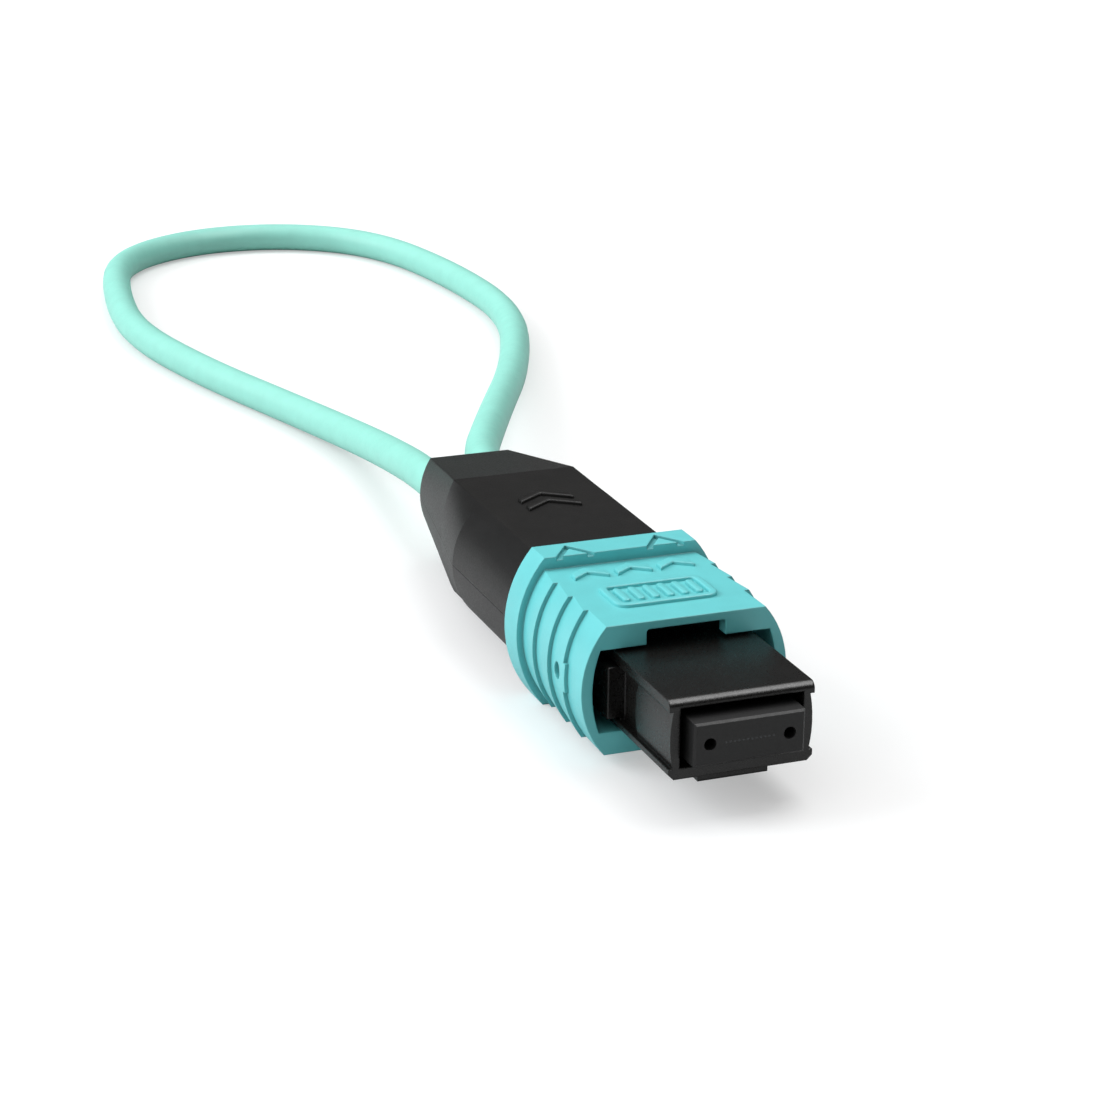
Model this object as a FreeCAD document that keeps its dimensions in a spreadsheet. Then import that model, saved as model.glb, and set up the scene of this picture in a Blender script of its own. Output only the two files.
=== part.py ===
import FreeCAD, Part
import math
import os
import Sketcher
from FreeCAD import Rotation, Vector

# Fibre connector of the MPO kind, built as a loopback: a pinless plug whose cable runs back into its shell.
# Millimetres. The origin is the middle of the ferrule's end face, +Y runs back along the connector to the
# cable, +X is to the right seen from the front, and +Z is up, with the plug's key underneath.

SIZES = (
    # ferrule and fibres
    ("ferrule_width", 6.4),
    ("ferrule_height", 2.45),
    ("ferrule_length", 8.0),
    ("ferrule_edge", 0.12),
    ("flange_width", 6.8),
    ("flange_height", 3.0),
    ("flange_length", 2.0),
    ("guide_pitch", 4.6),
    ("guide_radius", 0.35),
    ("fibre_pitch", 0.25),
    ("fibre_radius", 0.0625),
    ("fibre_gap", 0.002),
    ("fibre_bore_depth", 3.0),
    ("ribbon_width", 3.1),
    ("ribbon_thickness", 0.3),
    ("ribbon_gap", 0.05),
    ("window_width", 2.6),
    ("window_start", 3.4),
    ("window_length", 2.0),
    # boot, spacer and main spring
    ("boot_width", 3.4),
    ("boot_height", 1.2),
    ("boot_depth", 1.55),
    ("boot_tail", 2.6),
    ("boot_gap", 0.05),
    ("keeper_side", 0.1),
    ("keeper_top", 0.05),
    ("keeper_thickness", 1.4),
    ("keeper_gap", 0.02),
    ("spigot_width", 4.6),
    ("spigot_flat", 2.4),
    ("spigot_height", 1.7),
    ("spigot_length", 0.6),
    ("spring_side", 0.3),
    ("spring_top", 0.05),
    ("spring_wire", 0.36),
    ("spring_room", 5.9),
    ("spring_turns", 5.5),
    ("spring_gap", 0.03),
    # inner housing
    ("nose_setback", 1.04),
    ("nose_width", 8.38),
    ("nose_height", 4.48),
    ("nose_round", 0.42),
    ("nose_chamfer", 0.3),
    ("rail_height", 0.62),
    ("rail_notch", 0.24),
    ("side_bulge", 0.17),
    ("mouth_width", 7.14),
    ("mouth_top", 1.8),
    ("mouth_bottom", 1.62),
    ("mouth_end", 4.6),
    ("ledge_gap", 0.1),
    ("bay_gap_side", 0.06),
    ("bay_gap_top", 0.1),
    ("housing_end", 19.6),
    ("pocket_start", 5.8),
    ("pocket_end", 8.2),
    ("pocket_wall", 0.22),
    ("shoulder_reach", 0.53),
    ("shoulder_height", 3.0),
    ("shoulder_end", 11.95),
    ("stop_start", 18.25),
    ("stop_end", 19.3),
    ("stop_reach", 0.9),
    ("stop_height", 2.6),
    ("key_width", 4.1),
    ("key_height", 0.76),
    ("key_start", 2.0),
    ("key_end", 16.5),
    # rear body that holds the main spring
    ("arm_reach", 1.9),
    ("arm_thickness", 0.5),
    ("arm_height", 1.6),
    ("arm_gap", 0.06),
    ("hook_length", 0.8),
    ("hook_reach", 0.2),
    ("neck_width", 5.2),
    ("neck_height", 3.0),
    ("neck_gap", 0.05),
    ("tail_width", 6.8),
    ("tail_height", 4.0),
    ("tail_length", 1.0),
    # pull sleeve
    ("sleeve_start", 8.52),
    ("sleeve_end", 20.0),
    ("sleeve_flat", 9.5),
    ("sleeve_height", 7.56),
    ("sleeve_width", 12.3),
    ("rib_flat", 10.0),
    ("rib_width", 12.4),
    ("waist_flat", 9.4),
    ("waist_width", 11.95),
    ("rib_first", 11.25),
    ("rib_pitch", 2.3),
    ("hollow_flat", 10.14),
    ("hollow_height", 4.88),
    ("hollow_width", 11.0),
    ("keyway_width", 4.72),
    ("keyway_height", 6.66),
    ("keyway_round", 0.18),
    ("keyway_lip", 0.85),
    ("keyway_relief", 0.95),
    ("bulkhead_start", 12.0),
    ("bulkhead_end", 12.9),
    ("bulkhead_gap", 0.12),
    ("rim_start", 18.0),
    ("rim_flat", 9.4),
    ("rim_height", 9.02),
    ("rim_width", 12.7),
    ("chevron_pitch", 5.6),
    ("chevron_width", 2.5),
    ("chevron_line", 0.42),
    ("chevron_reach", 1.65),
    ("chevron_depth", 0.22),
    ("skirt_floor", 18.2),
    ("skirt_gap", 0.17),
    ("gate_radius", 0.5),
    ("gate_depth", 0.3),
    ("gate_place", 12.3),
    ("gate_pad_height", 1.7),
    ("gate_pad_reach", 0.3),
    # sleeve springs
    ("return_coil", 0.9),
    ("return_wire", 0.2),
    ("return_turns", 6.5),
    # rear shells
    ("shell_gap", 0.65),
    ("shell_bend", 30.5),
    ("shell_shoulder", 35.5),
    ("shell_end", 44.2),
    ("shell_flat", 8.0),
    ("shell_height", 7.4),
    ("shell_width", 11.7),
    ("shoulder_width", 9.7),
    ("tip_flat", 5.26),
    ("tip_height", 4.8),
    ("tip_width", 6.7),
    ("shell_wall", 1.0),
    ("shell_round", 0.4),
    ("socket_depth", 1.0),
    ("socket_gap", 0.05),
    ("gland_wall", 1.1),
    ("cavity_end", 39.5),
    ("peg_radius", 0.3),
    ("peg_length", 0.8),
    ("peg_gap", 0.04),
    ("peg_place", 26.0),
    # cable
    ("cable_diameter", 2.4),
    ("cable_pitch", 3.3),
    ("cable_gap", 0.05),
    ("collar_wall", 0.28),
    ("collar_gap", 0.02),
    ("collar_start", 40.2),
    ("collar_length", 2.8),
    ("fork_start", 24.5),
    ("fork_end", 37.5),
    ("fork_slot", 0.1),
)
FIBRES = 12

doc = FreeCAD.newDocument("mpo_connector")
sheet = doc.addObject("Spreadsheet::Sheet", "Sizes")
for row, (alias, amount) in enumerate(SIZES, start=1):
    sheet.set(f"A{row}", alias.replace("_", " "))
    sheet.set(f"B{row}", str(amount))
    sheet.setAlias(f"B{row}", alias)
doc.recompute()

NODES = []


def reckon(formula):
    """The number that a formula on the sheet comes to."""
    return float(sheet.evalExpression(formula))


def of_sheet(formula):
    """Write a formula of plain alias names in the full form that expressions need."""
    names = sorted((alias for alias, _ in SIZES), key=len, reverse=True)
    words = []
    word = ""
    for letter in formula + " ":
        if letter.isalnum() or letter == "_":
            word += letter
            continue
        words.append("Sizes." + word if word in names else word)
        words.append(letter)
        word = ""
    return "".join(words).strip()


def value(formula):
    return reckon(of_sheet(formula))


def new_body(label):
    body = doc.addObject("PartDesign::Body", label)
    body.Label = label
    NODES.append(body)
    return body


def new_sketch(body, role, name, offset):
    """A sketch on one of the body's own origin planes, moved along the plane's axis."""
    sketch = body.newObject("Sketcher::SketchObject", name)
    plane = [item for item in body.Origin.OriginFeatures if item.Role == role][0]
    sketch.AttachmentSupport = [(plane, "")]
    sketch.MapMode = "FlatFace"
    sign = "-" if role == "XZ_Plane" else ""
    sketch.setExpression(".AttachmentOffset.Base.z", of_sheet(f"{sign}({offset})"))
    return sketch


def pin_down(sketch, kind, geometry, spot, formula):
    """Hold one coordinate of a sketch point at a formula."""
    place = sketch.addConstraint(Sketcher.Constraint(kind, -1, 1, geometry, spot, value(formula)))
    sketch.setExpression(f"Constraints[{place}]", of_sheet(formula))


def outline(sketch, corners):
    """Close a loop through corners; a third and fourth formula make the next edge an arc through them."""
    places = [tuple(value(formula) for formula in corner) for corner in corners]
    ends = []
    for index, here in enumerate(places):
        ahead = places[(index + 1) % len(places)]
        start = Vector(here[0], here[1], 0)
        finish = Vector(ahead[0], ahead[1], 0)
        if len(here) == 2:
            ends.append((sketch.addGeometry(Part.LineSegment(start, finish), False), 1, 2))
            continue
        middle = Vector(here[2], here[3], 0)
        turn = (middle - start).cross(finish - middle).z
        if turn > 0:
            ends.append((sketch.addGeometry(Part.Arc(start, middle, finish), False), 1, 2))
        else:
            ends.append((sketch.addGeometry(Part.Arc(finish, middle, start), False), 2, 1))
        crown = sketch.addGeometry(Part.Point(middle), True)
        pin_down(sketch, "DistanceX", crown, 1, corners[index][2])
        pin_down(sketch, "DistanceY", crown, 1, corners[index][3])
        sketch.addConstraint(Sketcher.Constraint("PointOnObject", crown, 1, ends[-1][0]))
    for index, (edge, start, finish) in enumerate(ends):
        ahead, ahead_start, _ = ends[(index + 1) % len(ends)]
        sketch.addConstraint(Sketcher.Constraint("Coincident", edge, finish, ahead, ahead_start))
        pin_down(sketch, "DistanceX", edge, start, corners[index][0])
        pin_down(sketch, "DistanceY", edge, start, corners[index][1])


def ring(sketch, across, up, radius):
    """A circle at two formulas."""
    centre = Vector(value(across), value(up), 0)
    circle = sketch.addGeometry(Part.Circle(centre, Vector(0, 0, 1), value(radius)), False)
    pin_down(sketch, "DistanceX", circle, 3, across)
    pin_down(sketch, "DistanceY", circle, 3, up)
    place = sketch.addConstraint(Sketcher.Constraint("Radius", circle, value(radius)))
    sketch.setExpression(f"Constraints[{place}]", of_sheet(radius))


def extrude(body, kind, name, sketch, role, length):
    """Pad or pocket a sketch along the positive axis of its plane; a pocket must take material away."""
    before = body.Shape.Volume if kind == "Pocket" else 0.0
    feature = body.newObject(f"PartDesign::{kind}", name)
    feature.Profile = sketch
    feature.setExpression("Length", of_sheet(length))
    along_normal = role != "XZ_Plane"
    feature.Reversed = (kind == "Pocket") == along_normal
    doc.recompute()
    if kind == "Pocket" and feature.Shape.Volume > before - 1e-6:
        raise RuntimeError(f"{name} cuts nothing")
    return feature


def prism(body, kind, name, corners, near, far, role="XZ_Plane"):
    """Pad or pocket a closed outline between two places along the axis of its plane."""
    sketch = new_sketch(body, role, name + "_outline", near)
    outline(sketch, corners)
    return extrude(body, kind, name, sketch, role, f"({far})-({near})")


def drill(body, name, holes, near, far, role="XZ_Plane"):
    """Round holes, each of two centre formulas and a radius."""
    sketch = new_sketch(body, role, name + "_circles", near)
    for across, up, radius in holes:
        ring(sketch, across, up, radius)
    return extrude(body, "Pocket", name, sketch, role, f"({far})-({near})")


def block(left, right, low, high):
    return [(left, low), (right, low), (right, high), (left, high)]


def centred(width, height):
    """A rectangle about the axis."""
    return block(f"-({width})/2", f"({width})/2", f"-({height})/2", f"({height})/2")


def barrel(flat, height, width):
    """Flat top and bottom joined by bulging sides."""
    return [
        (f"({flat})/2", f"-({height})/2", f"({width})/2", "0"),
        (f"({flat})/2", f"({height})/2"),
        (f"-({flat})/2", f"({height})/2", f"-({width})/2", "0"),
        (f"-({flat})/2", f"-({height})/2"),
    ]


def loft(body, kind, name, stations):
    """Ruled loft through outlines, each given with its place along Y."""
    sketches = []
    for index, (place, corners) in enumerate(stations):
        sketch = new_sketch(body, "XZ_Plane", f"{name}_station_{index}", place)
        outline(sketch, corners)
        sketches.append(sketch)
    feature = body.newObject(f"PartDesign::{kind}Loft", name)
    feature.Profile = sketches[0]
    feature.Sections = sketches[1:]
    feature.Ruled = True
    doc.recompute()
    return feature


def edges_where(feature, test):
    """Names of the edges whose two ends and middle all pass a test."""
    names = []
    for index, edge in enumerate(feature.Shape.Edges, start=1):
        first, last = edge.ParameterRange
        points = [edge.valueAt(first), edge.valueAt((first + last) / 2), edge.valueAt(last)]
        if all(test(point) for point in points):
            names.append(f"Edge{index}")
    return names


def dress(body, kind, name, base, edges, size):
    """Fillet or chamfer edges by a size on the sheet."""
    feature = body.newObject(f"PartDesign::{kind}", name)
    feature.Base = (base, edges)
    feature.setExpression("Radius" if kind == "Fillet" else "Size", of_sheet(size))
    doc.recompute()
    return feature


def fibre_offset(index):
    return f"{index - (FIBRES - 1) / 2}*fibre_pitch"


def make_ferrule():
    """Moulded ferrule: rear flange, guide holes, fibre bores, adhesive window and ribbon mouth."""
    body = new_body("mt_ferrule")
    prism(body, "Pad", "ferrule_block", centred("ferrule_width", "ferrule_height"), "0", "ferrule_length")
    flange = centred("flange_width", "flange_height")
    block_with_flange = prism(
        body, "Pad", "ferrule_flange", flange, "ferrule_length-flange_length", "ferrule_length"
    )
    front = edges_where(block_with_flange, lambda point: abs(point.y) < 1e-6)
    dress(body, "Chamfer", "ferrule_front_edge", block_with_flange, front, "ferrule_edge")
    guides = [("-guide_pitch/2", "0", "guide_radius"), ("guide_pitch/2", "0", "guide_radius")]
    drill(body, "guide_holes", guides, "0", "ferrule_length")
    bores = [(fibre_offset(index), "0", "fibre_radius+fibre_gap") for index in range(FIBRES)]
    drill(body, "fibre_bores", bores, "0", "fibre_bore_depth")
    channel = centred("ribbon_width+2*ribbon_gap", "ribbon_thickness+2*ribbon_gap")
    prism(body, "Pocket", "ribbon_channel", channel, "fibre_bore_depth", "ferrule_length")
    mouth = centred("boot_width+2*boot_gap", "boot_height+2*boot_gap")
    prism(body, "Pocket", "ribbon_mouth", mouth, "ferrule_length-boot_depth-boot_gap", "ferrule_length")
    window = block("-window_width/2", "window_width/2", "0", "ferrule_height")
    prism(body, "Pocket", "adhesive_window", window, "window_start", "window_start+window_length")


def make_fibres():
    """The bare fibres, flush with the ferrule's face."""
    body = new_body("fibre_array")
    body.AllowCompound = True
    sketch = new_sketch(body, "XZ_Plane", "fibre_circles", "0")
    for index in range(FIBRES):
        ring(sketch, fibre_offset(index), "0", "fibre_radius")
    extrude(body, "Pad", "fibres", sketch, "XZ_Plane", "fibre_bore_depth")


def make_boot():
    """Soft boot that keeps adhesive off the ribbon."""
    body = new_body("ferrule_boot")
    start = "ferrule_length-boot_depth"
    finish = "ferrule_length+boot_tail"
    prism(body, "Pad", "boot_block", centred("boot_width", "boot_height"), start, finish)
    slot = centred("ribbon_width+2*ribbon_gap", "ribbon_thickness+2*ribbon_gap")
    prism(body, "Pocket", "boot_slot", slot, start, finish)


def make_keeper():
    """Spacer frame behind the ferrule, with a spigot that centres the main spring."""
    body = new_body("pin_keeper")
    start = "ferrule_length+keeper_gap"
    seat = "ferrule_length+keeper_gap+keeper_thickness"
    plate = centred("flange_width-2*keeper_side", "flange_height-2*keeper_top")
    prism(body, "Pad", "keeper_plate", plate, start, seat)
    spigot = barrel("spigot_flat", "spigot_height", "spigot_width")
    prism(body, "Pad", "keeper_spigot", spigot, seat, f"{seat}+spigot_length")
    hole = centred("boot_width+2*boot_gap", "boot_height+2*boot_gap")
    prism(body, "Pocket", "keeper_hole", hole, start, f"{seat}+spigot_length")


SPRING_FRONT = "ferrule_length+keeper_gap+keeper_thickness"
SPRING_REAR = f"{SPRING_FRONT}+spring_room"


def make_ferrule_spring():
    """Oval compression spring between the spacer and the rear body."""
    wire = value("spring_wire") / 2
    half_width = value("flange_width/2-spring_side") - wire
    half_height = value("flange_height/2-spring_top") - wire
    start = value(SPRING_FRONT) + wire + value("spring_gap")
    travel = value("spring_room") - 2 * (wire + value("spring_gap"))
    turns = value("spring_turns")
    steps = int(turns * 12)
    points = []
    for step in range(steps + 1):
        angle = 2 * math.pi * turns * step / steps
        height = start + travel * step / steps
        points.append(Vector(half_width * math.cos(angle), height, half_height * math.sin(angle)))
    curve = Part.BSplineCurve()
    curve.interpolate(points)
    spine = Part.Wire([curve.toShape()])
    tangent = curve.tangent(curve.FirstParameter)[0]
    section = Part.Wire([Part.makeCircle(wire, points[0], tangent)])
    node = doc.addObject("Part::Feature", "ferrule_spring")
    node.Shape = spine.makePipeShell([section], True, True)
    node.Label = "ferrule_spring"
    NODES.append(node)


def nose_outline():
    """Housing section: full-width rails above and below gently bulging sides, bottom corners chamfered."""
    half = "nose_width/2"
    top = "nose_height/2"
    rail = "(nose_height/2-rail_height)"
    side = "(nose_width/2-rail_notch)"
    crown = "(nose_width/2-rail_notch+side_bulge)"
    return [
        (f"{half}-nose_chamfer", f"-{top}"),
        (half, f"-{top}+nose_chamfer"),
        (half, f"-{rail}"),
        (side, f"-{rail}", crown, "0"),
        (side, rail),
        (half, rail),
        (half, top),
        (f"-{half}", top),
        (f"-{half}", rail),
        (f"-{side}", rail, f"-{crown}", "0"),
        (f"-{side}", f"-{rail}"),
        (f"-{half}", f"-{rail}"),
        (f"-{half}", f"-{top}+nose_chamfer"),
        (f"-({half}-nose_chamfer)", f"-{top}"),
    ]


ARM_START = f"{SPRING_REAR}-arm_reach"
ARM_OUTER = "flange_width/2+bay_gap_side+0.5*(nose_width/2-rail_notch-flange_width/2-bay_gap_side)"


def make_housing():
    """Plug housing: rails, latch pockets, key, ferrule ledge, spring bay and stops for the pull sleeve."""
    body = new_body("inner_housing")
    shank = prism(body, "Pad", "housing_shank", nose_outline(), "nose_setback", "housing_end")
    front = value("nose_setback")
    crest = value("nose_height") / 2
    top_edge = edges_where(shank, lambda point: abs(point.y - front) < 1e-6 and abs(point.z - crest) < 1e-6)
    dress(body, "Fillet", "nose_top_round", shank, top_edge, "nose_round")
    for name, sign in (("left", "-"), ("right", "")):
        inner = f"{sign}(flange_width/2)"
        shoulder = f"{sign}(nose_width/2+shoulder_reach)"
        stop = f"{sign}(nose_width/2+stop_reach)"
        ear = block(inner, shoulder, "-shoulder_height/2", "shoulder_height/2")
        prism(body, "Pad", f"latch_shoulder_{name}", ear, "pocket_end", "shoulder_end")
        lug = block(inner, stop, "-stop_height/2", "stop_height/2")
        prism(body, "Pad", f"spring_stop_{name}", lug, "stop_start", "stop_end")
    key = block("-key_width/2", "key_width/2", "-(nose_height/2+key_height)", "-nose_height/2+nose_chamfer")
    prism(body, "Pad", "key", key, "key_start", "key_end")
    mouth = block("-mouth_width/2", "mouth_width/2", "-mouth_bottom", "mouth_top")
    prism(body, "Pocket", "nose_mouth", mouth, "nose_setback", "mouth_end")
    ledge = centred("ferrule_width+2*ledge_gap", "ferrule_height+2*ledge_gap")
    bay_start = "ferrule_length-flange_length-keeper_gap"
    prism(body, "Pocket", "ferrule_ledge", ledge, "mouth_end", bay_start)
    bay = centred("flange_width+2*bay_gap_side", "flange_height+2*bay_gap_top")
    prism(body, "Pocket", "spring_bay", bay, bay_start, "housing_end")
    slot_height = "arm_height+2*arm_gap"
    slot = centred(f"2*({ARM_OUTER})+2*arm_gap", slot_height)
    prism(body, "Pocket", "arm_slots", slot, f"{ARM_START}-arm_gap", "housing_end")
    window = centred("nose_width+1", slot_height)
    window_start = f"{ARM_START}-arm_gap"
    prism(body, "Pocket", "hook_windows", window, window_start, f"{ARM_START}+hook_length+arm_gap")
    rail = "(nose_height/2-rail_height)"
    floor = "(flange_width/2+bay_gap_side+pocket_wall)"
    for name, sign in (("left", "-"), ("right", "")):
        pocket = block(f"{sign}{floor}", f"{sign}(nose_width)", f"-{rail}", rail)
        prism(body, "Pocket", f"latch_pocket_{name}", pocket, "pocket_start", "pocket_end")


SHELL_START = "(housing_end+shell_gap)"
FLANGE_REAR = f"{SHELL_START}+socket_depth"
NECK_REAR = f"{FLANGE_REAR}+2*socket_gap+gland_wall"


def make_spring_push():
    """Rear body: spring seat, two latch arms, flange behind the housing, and a neck that the shells clamp."""
    body = new_body("spring_push")
    inside = centred("flange_width", "flange_height")
    prism(body, "Pad", "spring_seat", inside, SPRING_REAR, "housing_end+neck_gap")
    outside = centred("nose_width", "nose_height")
    prism(body, "Pad", "rear_flange", outside, "housing_end+neck_gap", FLANGE_REAR)
    prism(body, "Pad", "neck", centred("neck_width", "neck_height"), FLANGE_REAR, NECK_REAR)
    prism(body, "Pad", "tail", centred("tail_width", "tail_height"), NECK_REAR, f"{NECK_REAR}+tail_length")
    for name, sign in (("left", "-"), ("right", "")):
        outer = f"({ARM_OUTER})"
        low, high = "-arm_height/2", "arm_height/2"
        arm = block(f"{sign}({outer}-arm_thickness)", f"{sign}{outer}", low, high)
        prism(body, "Pad", f"latch_arm_{name}", arm, ARM_START, "housing_end+neck_gap")
        hook = block(f"{sign}({outer}-arm_thickness)", f"{sign}({outer}+hook_reach)", low, high)
        prism(body, "Pad", f"latch_hook_{name}", hook, ARM_START, f"{ARM_START}+hook_length")
    slot = centred("ribbon_width+8*ribbon_gap", "ribbon_thickness+8*ribbon_gap")
    prism(body, "Pocket", "ribbon_passage", slot, SPRING_REAR, f"{NECK_REAR}+tail_length")


def rim_chevrons(body):
    """Open arrowheads cut into the top of the rim, pointing back and running out through its front edge."""
    half = "chevron_width/2"
    inner = "(chevron_width/2-chevron_line)"
    for name, sign in (("left", "-"), ("right", "")):
        middle = f"{sign}chevron_pitch/2"
        corners = [
            (f"{middle}-{half}", "rim_start-0.1"),
            (f"{middle}-{inner}", "rim_start-0.1"),
            (middle, "rim_start+chevron_reach-1.5*chevron_line"),
            (f"{middle}+{inner}", "rim_start-0.1"),
            (f"{middle}+{half}", "rim_start-0.1"),
            (middle, "rim_start+chevron_reach"),
        ]
        floor = "rim_height/2-chevron_depth"
        prism(body, "Pocket", f"rim_chevron_{name}", corners, floor, "rim_height/2+0.1", "XY_Plane")


def make_sleeve():
    """Pull sleeve: stepped grip ribs on bulging sides, rear rim, key grooves, spring bulkhead and skirt."""
    body = new_body("coupling_sleeve")
    mouth = barrel("sleeve_flat", "sleeve_height", "sleeve_width")
    crest = barrel("rib_flat", "sleeve_height", "rib_width")
    waist = barrel("waist_flat", "sleeve_height", "waist_width")
    places = ["sleeve_start"] + [f"rib_first+{count}*rib_pitch" for count in range(3)] + ["rim_start"]
    for index in range(len(places) - 1):
        front = crest if index else mouth
        loft(body, "Additive", f"grip_rib_{index}", [(places[index], front), (places[index + 1], waist)])
    sagitta = "((rib_width-rib_flat)/2)"
    radius = f"(((sleeve_height/2)^2+{sagitta}^2)/(2*{sagitta}))"
    edge = f"(rib_width/2-{radius}+sqrt({radius}^2-(gate_pad_height/2)^2))"
    pad = [
        ("-waist_flat/2", "gate_pad_height/2"),
        ("-waist_flat/2", "-gate_pad_height/2"),
        (f"-{edge}", "-gate_pad_height/2", "-rib_width/2", "0"),
        (f"-{edge}", "gate_pad_height/2"),
    ]
    prism(body, "Pad", "gate_pad", pad, "rib_first-gate_pad_reach", "rib_first")
    rim = barrel("rim_flat", "rim_height", "rim_width")
    prism(body, "Pad", "rim", rim, "rim_start", "sleeve_end")
    hollow = barrel("hollow_flat", "hollow_height", "hollow_width")
    prism(body, "Pocket", "latch_hollow", hollow, "sleeve_start", "bulkhead_start")
    passage = centred("nose_width+2*bulkhead_gap", "hollow_height")
    prism(body, "Pocket", "bulkhead_passage", passage, "bulkhead_start", "bulkhead_end")
    prism(body, "Pocket", "spring_hollow", hollow, "bulkhead_end", "skirt_floor")
    keyway = centred("keyway_width", "keyway_height")
    keyways = prism(body, "Pocket", "keyways", keyway, "sleeve_start", "skirt_floor")
    side = value("keyway_width/2")
    crown = value("keyway_height/2")
    corners = edges_where(keyways, lambda point: math.hypot(abs(point.x) - side, abs(point.z) - crown) < 1e-6)
    dress(body, "Fillet", "keyway_corners", keyways, corners, "keyway_round")
    relief = centred("keyway_width+2*keyway_relief", "keyway_height")
    prism(body, "Pocket", "keyway_reliefs", relief, "sleeve_start+keyway_lip", "bulkhead_start")
    skirt = barrel("shell_flat+2*skirt_gap", "shell_height+2*skirt_gap", "shell_width+2*skirt_gap")
    prism(body, "Pocket", "skirt", skirt, "skirt_floor", "sleeve_end")
    skin = "((rib_width+(waist_width-rib_width)*(gate_place-rib_first)/rib_pitch)/2)"
    gate = [("gate_place", "0", "gate_radius")]
    drill(body, "gate_mark", gate, f"-{skin}-gate_depth", f"-{skin}+gate_depth", "YZ_Plane")
    rim_chevrons(body)


def make_return_spring(label, sign):
    """Round compression spring between the sleeve's bulkhead and the housing's stop."""
    coil = doc.addObject("Part::Helix", label + "_coil")
    coil.setExpression("Radius", of_sheet("return_coil/2"))
    coil.setExpression("Height", of_sheet("stop_start-bulkhead_end-return_wire"))
    coil.setExpression("Pitch", of_sheet("(stop_start-bulkhead_end-return_wire)/return_turns"))
    section = doc.addObject("Part::Circle", label + "_wire")
    section.setExpression("Radius", of_sheet("return_wire/2"))
    section.setExpression("Placement.Base.x", of_sheet("return_coil/2"))
    section.Placement.Rotation = Rotation(Vector(1, 0, 0), 90)
    spring = doc.addObject("Part::Sweep", label)
    spring.Sections = [section]
    doc.recompute()
    spring.Spine = (coil, [f"Edge{index + 1}" for index in range(len(coil.Shape.Edges))])
    spring.Solid = True
    spring.Frenet = True
    spring.Label = label
    middle = "(nose_width/2+hollow_width/2)/2-rail_notch/2"
    spring.setExpression("Placement.Base.x", of_sheet(f"{sign}({middle})"))
    spring.setExpression("Placement.Base.y", of_sheet("bulkhead_end+return_wire/2"))
    spring.Placement.Rotation = Rotation(Vector(1, 0, 0), -90)
    NODES.append(spring)


def shell_stations(inset, front, rear):
    """Outlines of the tapered shell; inset draws the walls in, front and rear trim its length."""
    bend = (f"shell_flat-2*({inset})", f"shell_height-2*({inset})", f"shell_width-2*({inset})")
    shoulder = (f"shell_flat-2*({inset})", f"shell_height-2*({inset})", f"shoulder_width-2*({inset})")
    share = f"(({rear})-shell_shoulder)/(shell_end-shell_shoulder)"
    tip = (
        f"shell_flat+(tip_flat-shell_flat)*{share}-2*({inset})",
        f"shell_height+(tip_height-shell_height)*{share}-2*({inset})",
        f"shoulder_width+(tip_width-shoulder_width)*{share}-2*({inset})",
    )
    return [
        (front, barrel(*bend)),
        ("shell_bend", barrel(*bend)),
        ("shell_shoulder", barrel(*shoulder)),
        (rear, barrel(*tip)),
    ]


def make_shell(label, keep):
    """One half of the rear shell, split at mid height; keep is 1 for the upper half and -1 for the lower."""
    body = new_body(label)
    bevel = ("tip_flat-2*shell_round", "tip_height-2*shell_round", "tip_width-2*shell_round")
    stations = shell_stations("0", SHELL_START, "shell_end-shell_round")
    stations.append(("shell_end", barrel(*bevel)))
    loft(body, "Additive", label + "_skin", stations)
    high = "shell_height"
    away = block("-shell_width", "shell_width", "0", high) if keep < 0 else block(
        "-shell_width", "shell_width", f"-{high}", "0"
    )
    prism(body, "Pocket", label + "_split", away, f"{SHELL_START}-1", "shell_end+1")
    cavity_start = f"{FLANGE_REAR}+socket_gap+gland_wall"
    loft(body, "Subtractive", label + "_cavity", shell_stations("shell_wall", cavity_start, "cavity_end"))
    socket = centred("nose_width+2*socket_gap", "nose_height+2*socket_gap")
    prism(body, "Pocket", label + "_socket", socket, SHELL_START, f"{FLANGE_REAR}+socket_gap")
    gland = centred("neck_width+2*neck_gap", "neck_height+2*neck_gap")
    prism(body, "Pocket", label + "_gland", gland, f"{FLANGE_REAR}+socket_gap", cavity_start)
    sides = ("-cable_pitch/2", "cable_pitch/2")
    exits = [(side, "0", "cable_diameter/2+cable_gap") for side in sides]
    drill(body, label + "_cable_exits", exits, "cavity_end", "shell_end")
    seats = [(side, "0", "cable_diameter/2+collar_wall+2*collar_gap") for side in sides]
    seat_end = "collar_start+collar_length+collar_gap"
    drill(body, label + "_collar_seats", seats, "collar_start-collar_gap", seat_end)
    reaches = (
        ("(shell_width-shell_wall)/2", "peg_place"),
        ("(shoulder_width-shell_wall)/2", "shell_shoulder"),
    )
    pegs = [(f"{sign}({reach})", place) for reach, place in reaches for sign in ("-", "")]
    if keep < 0:
        sketch = new_sketch(body, "XY_Plane", label + "_peg_circles", "-peg_length/2")
        for across, place in pegs:
            ring(sketch, across, place, "peg_radius")
        extrude(body, "Pad", label + "_pegs", sketch, "XY_Plane", "1.5*peg_length")
    else:
        holes = [(across, place, "peg_radius+peg_gap") for across, place in pegs]
        drill(body, label + "_peg_holes", holes, "-peg_gap", "peg_length+peg_gap", "XY_Plane")


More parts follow.
